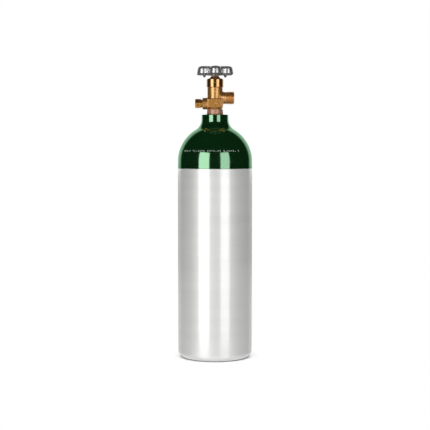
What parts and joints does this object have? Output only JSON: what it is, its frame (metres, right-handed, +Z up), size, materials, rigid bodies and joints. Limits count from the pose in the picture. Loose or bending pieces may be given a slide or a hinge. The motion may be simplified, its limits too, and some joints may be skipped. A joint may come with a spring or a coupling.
{
  "type": "oxygen cylinder",
  "caption": "Portable aluminium oxygen cylinder with a green shoulder and a brass post valve with handwheel, side outlet and safety device.",
  "frame": {"origin": "on the floor, at the centre of the cylinder's base", "axes": "+Z up along the cylinder's axis, +X along the valve's outlet, the safety device towards -X, front towards -Y"},
  "size_m": [0.1334, 0.1334, 0.5232],
  "materials": {
    "brushed_aluminium": "fine brushed round the body",
    "green_lacquer": "high gloss",
    "forged_brass": "satin forged",
    "turned_brass": "bright turned",
    "polished_metal": "polished die casting",
    "steel": "zinc plated",
    "nylon": "natural nylon",
    "black_rubber": "matte",
    "copper": "copper foil"
  },
  "bodies": {
    "cylinder": {"cylinder_shell": "brushed_aluminium", "shoulder_lacquer": "green_lacquer", "neck_o_ring": "black_rubber", "valve_body": "forged_brass", "debris_tube": "turned_brass", "safety_plug": "turned_brass", "burst_disc": "copper", "burst_disc_gasket": "nylon", "bonnet": "turned_brass", "bonnet_gasket": "nylon", "gland_follower": "turned_brass", "packing_ring_lower": "nylon", "packing_ring_upper": "nylon", "stem_thrust_washer": "nylon"},
    "spindle": {"upper_stem": "turned_brass", "handwheel": "polished_metal", "hub_washer": "nylon", "wheel_spring_washer": "steel", "wheel_washer": "steel", "wheel_nut": "steel"},
    "plug": {"lower_plug": "turned_brass", "seat_insert": "nylon"}
  },
  "joints": [
    {"name": "handwheel_turn", "type": "hinge", "parent": "cylinder", "child": "spindle", "pos_m": [0, 0, 0.5], "axis": [0, 0, 1], "range_deg": [0, 810]},
    {"name": "plug_lift", "type": "slide", "parent": "spindle", "child": "plug", "axis": [0, 0, 1], "range_m": [0, 0.00286]}
  ],
  "couplings": [
    {"joint": "plug_lift", "follows": "handwheel_turn", "m_per_rad": 0.00020213}
  ]
}
